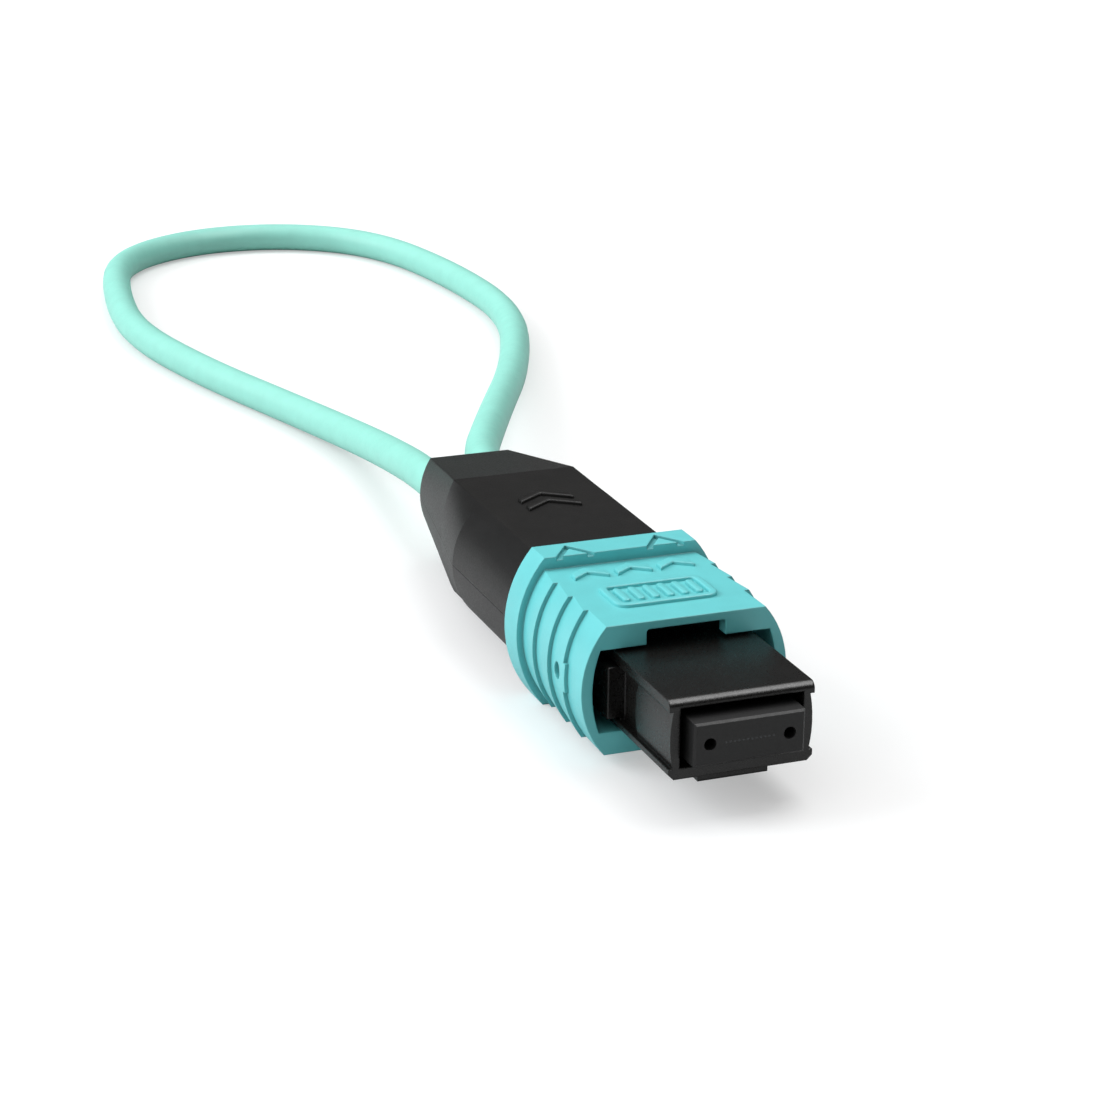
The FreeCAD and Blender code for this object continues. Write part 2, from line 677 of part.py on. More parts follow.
def make_ribbon():
    """Fibre ribbon, flat from the ferrule to the fork, then a half-width leg to each end of the jacket."""
    body = new_body("fibre_ribbon")
    half = "ribbon_width/2"
    near = "(cable_pitch/2-ribbon_width/4)"
    far = "(cable_pitch/2+ribbon_width/4)"
    corners = [
        (f"-{half}", "fibre_bore_depth"),
        (half, "fibre_bore_depth"),
        (half, "fork_start"),
        (far, "fork_end"),
        (far, "cavity_end"),
        (near, "cavity_end"),
        (near, "fork_end"),
        ("fork_slot", "fork_start"),
        ("-fork_slot", "fork_start"),
        (f"-{near}", "fork_end"),
        (f"-{near}", "cavity_end"),
        (f"-{far}", "cavity_end"),
        (f"-{far}", "fork_end"),
        (f"-{half}", "fork_start"),
    ]
    prism(body, "Pad", "ribbon", corners, "-ribbon_thickness/2", "ribbon_thickness/2", "XY_Plane")


def make_collar(label, sign):
    """Collar that anchors one end of the jacket in the shells."""
    body = new_body(label)
    sketch = new_sketch(body, "XZ_Plane", label + "_circles", "collar_start")
    ring(sketch, f"{sign}cable_pitch/2", "0", "cable_diameter/2+collar_gap")
    ring(sketch, f"{sign}cable_pitch/2", "0", "cable_diameter/2+collar_gap+collar_wall")
    extrude(body, "Pad", label + "_ring", sketch, "XZ_Plane", "collar_length")


def cable_route():
    """Cable route: out of the left exit, round the loop that lies on the table and into the right exit."""
    side = value("cable_pitch") / 2
    start = value("cavity_end")
    table = (value("cable_diameter") - value("rim_height")) / 2
    return [
        Vector(-side, start, 0.0),
        Vector(-side, 47.5, 0.0),
        Vector(-1.1, 55.5, -1.2),
        Vector(-0.9, 64.7, -2.6),
        Vector(-2.8, 75.6, table),
        Vector(-6.6, 87.9, table),
        Vector(-9.0, 100.4, table),
        Vector(-7.7, 112.5, table),
        Vector(-4.9, 124.3, table),
        Vector(3.2, 130.2, table),
        Vector(12.6, 129.8, table),
        Vector(19.7, 123.6, table),
        Vector(22.4, 110.0, table),
        Vector(22.6, 95.9, table),
        Vector(16.7, 79.5, -2.8),
        Vector(8.3, 61.8, -0.9),
        Vector(side, 47.5, 0.0),
        Vector(side, start, 0.0),
    ]


def rounded_path(points):
    """Straight runs joined by tangent arcs as large as the two runs allow."""
    edges = []
    radii = []
    last = points[0]
    for before, corner, after in zip(points, points[1:], points[2:]):
        back = (before - corner).normalize()
        ahead = (after - corner).normalize()
        half_turn = (math.pi - back.getAngle(ahead)) / 2
        reach = 0.45 * min(before.distanceToPoint(corner), after.distanceToPoint(corner))
        radius = reach / math.tan(half_turn)
        bisector = (back + ahead).normalize()
        middle = corner + bisector * (radius / math.cos(half_turn) - radius)
        entry = corner + back * reach
        leave = corner + ahead * reach
        edges.append(Part.LineSegment(last, entry).toShape())
        edges.append(Part.Arc(entry, middle, leave).toShape())
        radii.append(radius)
        last = leave
    edges.append(Part.LineSegment(last, points[-1]).toShape())
    return Part.Wire(edges), radii


def make_cable():
    """The jacketed cable as one plain tube."""
    path, radii = rounded_path(cable_route())
    radius = value("cable_diameter") / 2
    start = path.Vertexes[0].Point
    section = Part.Wire([Part.makeCircle(radius, start, Vector(0, 1, 0))])
    node = doc.addObject("Part::Feature", "cable_loop")
    node.Shape = path.makePipeShell([section], True, True)
    node.Label = "cable_loop"
    NODES.append(node)
    expected = math.pi * radius ** 2 * path.Length
    print("cable radii", [round(size, 1) for size in radii])
    print("cable length", round(path.Length, 2), "volume ratio", round(node.Shape.Volume / expected, 4))


make_ferrule()
make_fibres()
make_boot()
make_keeper()
make_ferrule_spring()
make_housing()
make_spring_push()
make_sleeve()
make_return_spring("sleeve_spring_left", "-")
make_return_spring("sleeve_spring_right", "")
make_shell("upper_shell", 1)
make_shell("lower_shell", -1)
make_ribbon()
make_collar("jacket_collar_left", "-")
make_collar("jacket_collar_right", "")
make_cable()
doc.recompute()

for item in doc.Objects:
    if "Invalid" in item.State or "Error" in item.State:
        raise RuntimeError(f"{item.Label} failed: {item.State}")
for node in NODES:
    if node.Shape.isNull() or not node.Shape.isValid() or not node.Shape.Solids:
        raise RuntimeError(f"{node.Label} has no valid solid")

os.makedirs("parts", exist_ok=True)
for node in NODES:
    node.Shape.exportStep(f"parts/{node.Label}.step")
    print(node.Label, len(node.Shape.Solids), round(node.Shape.Volume, 2))
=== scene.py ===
import math

import bmesh
import bpy
from bpy.props import FloatProperty, FloatVectorProperty, IntProperty, PointerProperty
from mathutils import Matrix, Vector


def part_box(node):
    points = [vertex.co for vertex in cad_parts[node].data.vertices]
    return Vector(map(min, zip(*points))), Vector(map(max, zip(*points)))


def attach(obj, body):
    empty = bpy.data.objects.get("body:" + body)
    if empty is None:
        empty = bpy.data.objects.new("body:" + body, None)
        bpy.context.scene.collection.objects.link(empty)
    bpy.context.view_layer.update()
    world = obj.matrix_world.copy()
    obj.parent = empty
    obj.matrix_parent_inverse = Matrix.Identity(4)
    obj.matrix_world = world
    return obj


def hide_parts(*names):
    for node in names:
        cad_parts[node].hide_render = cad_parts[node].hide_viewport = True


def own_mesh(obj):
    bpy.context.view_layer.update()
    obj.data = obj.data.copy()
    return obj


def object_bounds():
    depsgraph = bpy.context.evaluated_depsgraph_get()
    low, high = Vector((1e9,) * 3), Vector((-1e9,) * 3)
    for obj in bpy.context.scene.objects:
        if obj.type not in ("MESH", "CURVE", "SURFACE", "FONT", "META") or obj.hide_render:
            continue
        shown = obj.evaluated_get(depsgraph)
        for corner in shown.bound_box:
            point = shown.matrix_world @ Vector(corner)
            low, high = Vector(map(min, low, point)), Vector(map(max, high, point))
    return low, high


bl_info = {
    "name": "Fibre loopback plug",
    "version": (1, 0, 0),
    "blender": (4, 5, 0),
    "location": "View3D > Sidebar > Loopback",
    "description": "Finishes, springs, cable and studio for a twelve-fibre loopback plug",
    "category": "Object",
}

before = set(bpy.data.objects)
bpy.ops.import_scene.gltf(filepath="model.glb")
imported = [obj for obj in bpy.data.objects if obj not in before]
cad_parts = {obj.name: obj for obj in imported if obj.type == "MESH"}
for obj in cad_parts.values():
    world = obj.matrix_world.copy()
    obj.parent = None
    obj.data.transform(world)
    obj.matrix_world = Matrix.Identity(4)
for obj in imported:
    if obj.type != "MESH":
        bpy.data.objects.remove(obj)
CAD_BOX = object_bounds()

# Lengths are in metres. The plug's face is near Y = 0, its cable leaves towards +Y, and Z is up.

# The cable's centre line: out of the shell's left exit, round the loop and into the right exit.
CABLE_ROUTE = (
    (-0.00165, 0.0395, 0.0),
    (-0.00165, 0.0475, 0.0),
    (-0.0011, 0.0555, -0.0012),
    (-0.0009, 0.0647, -0.0026),
    (-0.0028, 0.0756, -0.00331),
    (-0.0066, 0.0879, -0.00331),
    (-0.0090, 0.1004, -0.00331),
    (-0.0077, 0.1125, -0.00331),
    (-0.0049, 0.1243, -0.00331),
    (0.0032, 0.1302, -0.00331),
    (0.0126, 0.1298, -0.00331),
    (0.0197, 0.1236, -0.00331),
    (0.0224, 0.1100, -0.00331),
    (0.0226, 0.0959, -0.00331),
    (0.0167, 0.0795, -0.0028),
    (0.0083, 0.0618, -0.0009),
    (0.00165, 0.0475, 0.0),
    (0.00165, 0.0395, 0.0),
)

# The camera: its place, the directions of its right side, its top and its back, and how near and
# how far it sees.
CAMERA_PLACE = (-0.06074, -0.12575, 0.06005)
CAMERA_RIGHT = (0.93235, -0.36138, 0.01122)
CAMERA_UP = (0.11158, 0.31712, 0.94180)
CAMERA_BACK = (-0.34390, -0.87684, 0.33599)
CAMERA_REACH = (0.005, 50.0)

# The floor: its middle, and how far it lies under the plug, so that the two share no plane.
FLOOR_MIDDLE = (0.0, 0.06)
FLOOR_SEAM = 0.00001
# How far from its middle its own light starts to grow and is full, and the share of the lift there.
FLOOR_FADE = (0.02, 0.50)
FLOOR_SHARES = (0.82, 1.3)

# The lamps: what they aim at, and the place and width of each.
LAMP_AIM = (0.0, 0.02, 0.0)
KEY_LAMP = {"place": (-0.62, 0.30, 0.42), "width": 0.50}
TOP_LAMP = {"place": (0.22, 0.11, 0.57), "width": 0.42}
STRIP_LAMP = {"place": (0.27, -0.20, 0.53), "width": 0.34}
KEY_COLOUR = (0.90, 0.96, 1.0)

# The sky: the direction of its bright side, and how squarely a ray faces that side where the light
# starts and is full. For a glossy ray it is how steeply the ray rises.
WINDOW = (-0.74, 0.32, 0.59)
WINDOW_REACH = (-0.1, 0.9)
GLOSS_REACH = (0.4, 0.95)

# Moulded skin: the part of a noise's range that most of a surface shows, and how deep the grain is.
NOISE_CORE = (0.3, 0.7)
GRAIN_DEPTH = 0.00002
# How alike the rounded and the flat normal are where an edge starts and is full, as a dot product.
EDGE_LIKENESS = (0.998, 0.90)
# Painted shade in creases: how far a crease looks for its own walls, and how open it is where the
# painted shade is darkest and where it ends.
CREASE_SHADE_REACH = 0.0007
CREASE_SHADE_OPENNESS = (0.45, 0.92)
# How far the mottle and the edges take a moulded part towards its lighter colour.
MOTTLE_SHARE = 0.3
EDGE_SHARE = 0.35

WHITE = (1.0, 1.0, 1.0, 1.0)
STEEL = (0.55, 0.55, 0.56)
BRASS = (0.72, 0.52, 0.25)
# The plain and the lighter colour of small moulded parts.
RUBBER = ((0.03, 0.03, 0.032), (0.05, 0.05, 0.05))
KEEPER = ((0.02, 0.02, 0.02), (0.04, 0.04, 0.04))
GLASS = ((0.03, 0.033, 0.035), (0.05, 0.055, 0.06))


# ---- sizes and colours that a user would change ----


class StageSettings(bpy.types.PropertyGroup):
    lens: FloatProperty(
        name="Lens",
        description="Focal length of the camera",
        default=94.352,
        min=10.0,
    )
    sensor: FloatProperty(
        name="Sensor",
        description="Width of the camera's sensor",
        default=36.0,
        min=1.0,
    )
    floor_size: FloatProperty(
        name="Floor size",
        description="Side of the square floor",
        default=3.0,
        min=0.1,
        unit="LENGTH",
    )
    floor_colour: FloatVectorProperty(
        name="Floor colour",
        description="Colour of the floor",
        default=(0.57, 0.57, 0.57),
        subtype="COLOR",
    )
    floor_lift: FloatProperty(
        name="Floor lift",
        description="Light that the floor adds to its own look",
        default=0.50,
        min=0.0,
    )
    sky_low: FloatProperty(
        name="Sky low",
        description="Light from the dim side of the studio",
        default=0.02,
        min=0.0,
    )
    sky_high: FloatProperty(
        name="Sky high",
        description="Light from the bright side of the studio",
        default=1.2,
        min=0.0,
    )
    gloss_low: FloatProperty(
        name="Gloss low",
        description="How bright the walls look in a glossy surface",
        default=0.05,
        min=0.0,
    )
    key_power: FloatProperty(
        name="Key light",
        description="Power of the large lamp behind on the left",
        default=3.3,
        min=0.0,
        unit="POWER",
    )
    top_power: FloatProperty(
        name="Top light",
        description="Power of the soft lamp overhead",
        default=1.8,
        min=0.0,
        unit="POWER",
    )
    strip_power: FloatProperty(
        name="Strip light",
        description="Power of the lamp that only gloss shows",
        default=1.9,
        min=0.0,
        unit="POWER",
    )


class CableSettings(bpy.types.PropertyGroup):
    diameter: FloatProperty(
        name="Diameter",
        description="Outer diameter of the jacket",
        default=0.0024,
        min=0.0005,
        unit="LENGTH",
    )
    length: FloatProperty(
        name="Length",
        description="Real length of the cable from end to end",
        default=0.202,
        min=0.01,
        unit="LENGTH",
    )
    colour: FloatVectorProperty(
        name="Jacket colour",
        description="Colour of the jacket",
        default=(0.28, 0.68, 0.58),
        subtype="COLOR",
    )


class FinishSettings(bpy.types.PropertyGroup):
    aqua: FloatVectorProperty(
        name="Aqua",
        description="Colour of the pull sleeve",
        default=(0.14, 0.58, 0.60),
        subtype="COLOR",
    )
    black: FloatVectorProperty(
        name="Black",
        description="Colour of the plug housing",
        default=(0.0034, 0.0031, 0.0028),
        subtype="COLOR",
    )
    shell: FloatVectorProperty(
        name="Shell",
        description="Colour of the rear shells",
        default=(0.0045, 0.0042, 0.0039),
        subtype="COLOR",
    )
    ferrule: FloatVectorProperty(
        name="Ferrule",
        description="Colour of the ferrule's filled resin",
        default=(0.0040, 0.0040, 0.0041),
        subtype="COLOR",
    )


class SpringSettings(bpy.types.PropertyGroup):
    main_width: FloatProperty(
        name="Main width",
        description="Outer width of the oval spring",
        default=0.0062,
        min=0.001,
        unit="LENGTH",
    )
    main_height: FloatProperty(
        name="Main height",
        description="Outer height of the oval spring",
        default=0.0029,
        min=0.001,
        unit="LENGTH",
    )
    main_wire: FloatProperty(
        name="Main wire",
        description="Wire diameter of the oval spring",
        default=0.00036,
        min=0.0001,
        unit="LENGTH",
    )
    main_turns: FloatProperty(
        name="Main turns",
        description="Turns of the oval spring",
        default=5.5,
        min=1.0,
    )
    side_coil: FloatProperty(
        name="Side coil",
        description="Mean diameter of the sleeve springs",
        default=0.0009,
        min=0.0002,
        unit="LENGTH",
    )
    side_wire: FloatProperty(
        name="Side wire",
        description="Wire diameter of the sleeve springs",
        default=0.0002,
        min=0.00005,
        unit="LENGTH",
    )
    side_turns: FloatProperty(
        name="Side turns",
        description="Turns of each sleeve spring",
        default=6.5,
        min=1.0,
    )


class RibbonSettings(bpy.types.PropertyGroup):
    width: FloatProperty(
        name="Width",
        description="Width of the ribbon",
        default=0.0031,
        min=0.001,
        unit="LENGTH",
    )
    thickness: FloatProperty(
        name="Thickness",
        description="Thickness of the ribbon",
        default=0.0003,
        min=0.0001,
        unit="LENGTH",
    )


class MarkSettings(bpy.types.PropertyGroup):
    rise: FloatProperty(
        name="Rise",
        description="How far the marks stand proud",
        default=0.0002,
        min=0.00001,
        unit="LENGTH",
    )
    frame_width: FloatProperty(
        name="Frame width",
        description="Width of the raised frame",
        default=0.0062,
        min=0.001,
        unit="LENGTH",
    )
    frame_length: FloatProperty(
        name="Frame length",
        description="Length of the raised frame",
        default=0.0034,
        min=0.001,
        unit="LENGTH",
    )
    line: FloatProperty(
        name="Line",
        description="Breadth of the raised lines",
        default=0.00044,
        min=0.0001,
        unit="LENGTH",
    )
    bar_length: FloatProperty(
        name="Bar length",
        description="Length of each raised bar",
        default=0.0019,
        min=0.0005,
        unit="LENGTH",
    )
    bars: IntProperty(
        name="Bars",
        description="Number of raised bars",
        default=6,
        min=1,
    )
    arrow_width: FloatProperty(
        name="Arrow width",
        description="Width of each arrowhead on the sleeve",
        default=0.0021,
        min=0.0005,
        unit="LENGTH",
    )
    arrows: IntProperty(
        name="Arrows",
        description="Number of arrowheads in the row on the sleeve",
        default=3,
        min=1,
    )


# ---- shader helpers ----


def feed(tree, node, inputs):
    """Give each named input of a node its value, or link it to the output that feeds it."""
    for name, value in inputs.items():
        if isinstance(value, bpy.types.NodeSocket):
            tree.links.new(value, node.inputs[name])
        else:
            node.inputs[name].default_value = value


def add(tree, kind, inputs=None, **settings):
    """Add a shader node with its settings and what feeds its inputs."""
    node = tree.nodes.new(f"ShaderNode{kind}")
    for name, value in settings.items():
        setattr(node, name, value)
    feed(tree, node, inputs or {})
    return node


def remap(tree, value, source, target=(0.0, 1.0), smooth=False):
    """Carry a value from one range to another, and hold it there past the ends."""
    inputs = {
        "Value": value,
        "From Min": source[0],
        "From Max": source[1],
        "To Min": target[0],
        "To Max": target[1],
    }
    ramp = "SMOOTHSTEP" if smooth else "LINEAR"
    return add(tree, "MapRange", inputs, interpolation_type=ramp).outputs["Result"]


def tinted(tree, factor, first, second):
    """The colour that a factor gives between a first and a second, which may be an output."""
    if not isinstance(second, bpy.types.NodeSocket):
        second = (*second, 1.0)
    inputs = {"Factor": factor, "A": (*first, 1.0), "B": second}
    return add(tree, "Mix", inputs, data_type="RGBA").outputs["Result"]


def noise(tree, **inputs):
    """A noise pattern that is fixed to the piece."""
    place = add(tree, "TexCoord").outputs["Object"]
    return add(tree, "TexNoise", {"Vector": place, **inputs}).outputs["Fac"]


def new_material(name):
    """A new material, its node tree and its shader."""
    material = bpy.data.materials.new(name)
    material.use_nodes = True
    return material, material.node_tree, material.node_tree.nodes["Principled BSDF"]


def moulded_skin_group():
    """Fine spark-eroded grain, a slow mottle, a mask for painted shade in creases and softened
    edges of a moulded part.
    """
    tree = bpy.data.node_groups.new("Moulded skin", "ShaderNodeTree")
    for name, default in (
        ("Grain size", 9000.0),
        ("Mottle size", 700.0),
        ("Edge radius", 0.00012),
        ("Grain height", 0.25),
    ):
        made = tree.interface.new_socket(name=name, in_out="INPUT", socket_type="NodeSocketFloat")
        made.default_value = default
    # The fourth output is 1 in the open and falls towards 0 deep in creases, where moulded() paints
    # shade.
    for name in ("Grain", "Mottle", "Edge", "Open"):
        tree.interface.new_socket(name=name, in_out="OUTPUT", socket_type="NodeSocketFloat")
    tree.interface.new_socket(name="Normal", in_out="OUTPUT", socket_type="NodeSocketVector")
    given = tree.nodes.new("NodeGroupInput").outputs

    grain = noise(tree, Scale=given["Grain size"], Detail=3.0, Roughness=0.6)
    mottle = noise(tree, Scale=given["Mottle size"], Detail=2.0)
    rounded = add(tree, "Bevel", {"Radius": given["Edge radius"]}, samples=6).outputs["Normal"]
    flat = add(tree, "NewGeometry").outputs["Normal"]
    likeness = add(tree, "VectorMath", {0: rounded, 1: flat}, operation="DOT_PRODUCT")
    # Ambient occlusion finds the creases that get painted shade.
    crease_occlusion = add(tree, "AmbientOcclusion", {"Distance": CREASE_SHADE_REACH}, samples=6, only_local=True)
    relief = add(
        tree,
        "Bump",
        {
            "Strength": given["Grain height"],
            "Distance": GRAIN_DEPTH,
            "Height": grain,
            "Normal": rounded,
        },
    )
    feed(
        tree,
        tree.nodes.new("NodeGroupOutput"),
        {
            "Grain": grain,
            "Mottle": mottle,
            "Edge": remap(tree, likeness.outputs["Value"], EDGE_LIKENESS),
            "Open": remap(tree, crease_occlusion.outputs["AO"], CREASE_SHADE_OPENNESS),
            "Normal": relief.outputs["Normal"],
        },
    )
    return tree


def moulded(
    name,
    colour,
    lighter,
    rough,
    spread,
    edge_radius=0.00012,
    grain_size=9000.0,
    grain_height=0.25,
    shine=0.5,
    crease_shade=1.0,
):
    """A moulded plastic.

    Its colour drifts towards lighter in the mottle and on edges, and goes towards itself times
    crease_shade in creases, which is painted shade. Its roughness varies by spread with the grain.
    """
    material, tree, shader = new_material(name)
    skin = add(
        tree,
        "Group",
        {"Edge radius": edge_radius, "Grain size": grain_size, "Grain height": grain_height},
        node_tree=bpy.data.node_groups.get("Moulded skin") or moulded_skin_group(),
    ).outputs
    drift = remap(tree, skin["Mottle"], NOISE_CORE, (0.0, MOTTLE_SHARE))
    share = add(
        tree,
        "Math",
        {0: skin["Edge"], 1: EDGE_SHARE, 2: drift},
        operation="MULTIPLY_ADD",
        use_clamp=True,
    ).outputs["Value"]
    worn = tinted(tree, share, colour, lighter)
    feed(
        tree,
        shader,
        {
            # Painted shade: in creases the base colour falls towards its colour times crease_shade.
            "Base Color": tinted(tree, skin["Open"], brighter(colour, crease_shade), worn),
            "Roughness": remap(tree, skin["Grain"], NOISE_CORE, (rough - spread, rough + spread)),
            "Normal": skin["Normal"],
            "Specular IOR Level": shine,
        },
    )
    return material


def metal(name, colour, rough=0.3, spread=0.1, darker=0.75):
    """Drawn or turned metal, whose fine marks are darker and rougher."""
    material, tree, shader = new_material(name)
    marks = noise(tree, Scale=6000.0, Detail=4.0)
    feed(
        tree,
        shader,
        {
            "Base Color": tinted(tree, marks, colour, brighter(colour, darker)),
            "Roughness": remap(tree, marks, (0.0, 1.0), (rough - spread, rough + spread)),
            "Metallic": 1.0,
        },
    )
    return material


def brighter(colour, times):
    """A colour times a number, up to full."""
    return [min(part * times, 1.0) for part in colour]


# ---- modelling helpers ----


def fresh():
    """Leave nothing selected, so that the next operator acts on the new piece alone."""
    if bpy.context.mode != "OBJECT":
        bpy.ops.object.mode_set(mode="OBJECT")
    bpy.ops.object.select_all(action="DESELECT")


def settle(piece, name, material, body):
    """Name a finished piece, put its place in its mesh and let it ride."""
    fresh()
    piece.select_set(True)
    bpy.context.view_layer.objects.active = piece
    bpy.ops.object.transform_apply(location=True, rotation=True, scale=True)
    piece.name = name
    piece.data.name = name
    piece.data.materials.clear()
    piece.data.materials.append(material)
    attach(piece, body)
    return piece


def give_way(piece, node):
    """Let a piece stand for a node: give it its own mesh and hide the node."""
    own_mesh(piece)
    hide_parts(node)


def apply_modifier(piece, kind, name, **values):
    """Give a piece a modifier and apply it."""
    modifier = piece.modifiers.new(name, kind)
    for key, amount in values.items():
        setattr(modifier, key, amount)
    bpy.context.view_layer.objects.active = piece
    bpy.ops.object.modifier_apply(modifier=modifier.name)


def shape(operator, **values):
    """Run one edit-mode operator on all of the active piece."""
    bpy.ops.object.mode_set(mode="EDIT")
    bpy.ops.mesh.select_all(action="SELECT")
    operator(**values)
    bpy.ops.object.mode_set(mode="OBJECT")


def pick(piece, kind, test):
    """In edit mode, select only the vertices, edges or faces whose middle and self pass a test."""
    bpy.ops.mesh.select_mode(type=kind)
    bpy.ops.mesh.select_all(action="DESELECT")
    mesh = bmesh.from_edit_mesh(piece.data)
    items = {"VERT": mesh.verts, "EDGE": mesh.edges, "FACE": mesh.faces}[kind]
    for item in items:
        corners = [item] if kind == "VERT" else item.verts
        middle = sum((corner.co for corner in corners), Vector()) / len(corners)
        if test(middle, item):
            item.select_set(True)
    mesh.select_flush_mode()
    bmesh.update_edit_mesh(piece.data)


# ---- operators ----


class LOOPBACK_OT_stage(bpy.types.Operator):
    """Build the camera, the floor, the lamps and the sky"""

    bl_idname = "loopback.stage"
    bl_label = "Build the stage"

    def execute(self, context):
        settings = context.scene.loopback_stage
        scene = context.scene
        fresh()
        scene.view_settings.view_transform = "Standard"
        self.camera(scene, settings)
        self.floor(settings)
        key = self.lamp("key", settings.key_power, **KEY_LAMP)
        key.data.color = KEY_COLOUR
        self.lamp("top", settings.top_power, **TOP_LAMP)
        strip = self.lamp("strip", settings.strip_power, **STRIP_LAMP)
        strip.visible_diffuse = False
        self.sky(scene, settings)
        return {"FINISHED"}

    def camera(self, scene, settings):
        """A camera at its place, turned to its three directions."""
        eye = bpy.data.cameras.new("camera")
        eye.lens = settings.lens
        eye.sensor_width = settings.sensor
        eye.clip_start, eye.clip_end = CAMERA_REACH
        camera = bpy.data.objects.new("camera", eye)
        scene.collection.objects.link(camera)
        scene.camera = camera
        turn = Matrix((CAMERA_RIGHT, CAMERA_UP, CAMERA_BACK)).transposed().to_4x4()
        camera.matrix_world = Matrix.Translation(CAMERA_PLACE) @ turn

    def floor(self, settings):
        """A square floor just under the plug."""
        place = (*FLOOR_MIDDLE, CAD_BOX[0].z - FLOOR_SEAM)
        bpy.ops.mesh.primitive_plane_add(size=settings.floor_size, location=place)
        floor = bpy.context.object
        floor.name = "floor"
        floor.data.materials.append(self.floor_finish(settings))

    def floor_finish(self, settings):
        """A pale floor that adds light to its own look for the eye, and more of it far away."""
        material, tree, shader = new_material("floor")
        place = add(tree, "TexCoord").outputs["Object"]
        away = add(tree, "VectorMath", {0: place}, operation="LENGTH").outputs["Value"]
        levels = [settings.floor_lift * share for share in FLOOR_SHARES]
        lift = remap(tree, away, FLOOR_FADE, levels, smooth=True)
        seen = self.seen(tree, add(tree, "LightPath"))
        glow = add(tree, "Math", {0: seen, 1: lift}, operation="MULTIPLY").outputs["Value"]
        feed(
            tree,
            shader,
            {
                "Base Color": (*settings.floor_colour, 1.0),
                "Roughness": 0.7,
                "Emission Color": WHITE,
                "Emission Strength": glow,
            },
        )
        return material

    def lamp(self, name, power, place, width):
        """A round lamp that faces the plug."""
        data = bpy.data.lights.new(name, "AREA")
        data.shape = "DISK"
        data.size = width
        data.energy = power
        lamp = bpy.data.objects.new(name, data)
        bpy.context.scene.collection.objects.link(lamp)
        lamp.location = place
        aim = Vector(LAMP_AIM) - Vector(place)
        lamp.rotation_euler = aim.to_track_quat("-Z", "Y").to_euler()
        return lamp

    def sky(self, scene, settings):
        """White to the eye and through glass, bright overhead for gloss, else bright on a side."""
        world = bpy.data.worlds.new("sky")
        scene.world = world
        world.use_nodes = True
        tree = world.node_tree
        way = add(tree, "TexCoord").outputs["Generated"]
        window = add(tree, "VectorMath", {0: way, 1: WINDOW}, operation="DOT_PRODUCT")
        rise = add(tree, "SeparateXYZ", {"Vector": way})
        levels = (settings.sky_low, settings.sky_high)
        plain = remap(tree, window.outputs["Value"], WINDOW_REACH, levels, smooth=True)
        levels = (settings.gloss_low, 1.0)
        glossy = remap(tree, rise.outputs["Z"], GLOSS_REACH, levels, smooth=True)
        path = add(tree, "LightPath")
        light = add(tree, "Mix", {"Factor": path.outputs["Is Glossy Ray"], "A": plain, "B": glossy})
        shown = {"Factor": self.seen(tree, path), "A": light.outputs["Result"], "B": 1.0}
        strength = add(tree, "Mix", shown).outputs["Result"]
        feed(tree, tree.nodes["Background"], {"Color": WHITE, "Strength": strength})

    def seen(self, tree, path):
        """1 for rays from the eye and through glass."""
        direct = {0: path.outputs["Is Camera Ray"], 1: path.outputs["Is Transmission Ray"]}
        return add(tree, "Math", direct, operation="MAXIMUM").outputs["Value"]


class LOOPBACK_OT_cable(bpy.types.Operator):
    """Lay the cable along its route"""

    bl_idname = "loopback.cable"
    bl_label = "Lay the cable"

    def execute(self, context):
        settings = context.scene.loopback_cable
        fresh()
        curve = bpy.data.curves.new("cable", "CURVE")
        curve.dimensions = "3D"
        spline = curve.splines.new("NURBS")
        spline.points.add(len(CABLE_ROUTE) - 1)
        for point, place in zip(spline.points, CABLE_ROUTE):
            point.co = (*place, 1.0)
        spline.order_u = 3
        spline.use_endpoint_u = True
        spline.resolution_u = 12
        curve.bevel_depth = settings.diameter / 2
        curve.bevel_resolution = 8
        curve.use_fill_caps = True
        cable = bpy.data.objects.new("cable", curve)
        context.scene.collection.objects.link(cable)
        finish = moulded(
            "cable jacket",
            settings.colour,
            lighter=brighter(settings.colour, 1.2),
            rough=0.5,
            spread=0.08,
            edge_radius=0.00005,
            grain_size=5000.0,
            grain_height=0.2,
        )
        curve.materials.append(finish)
        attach(cable, "connector_body")
        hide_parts("cable_loop")
        return {"FINISHED"}


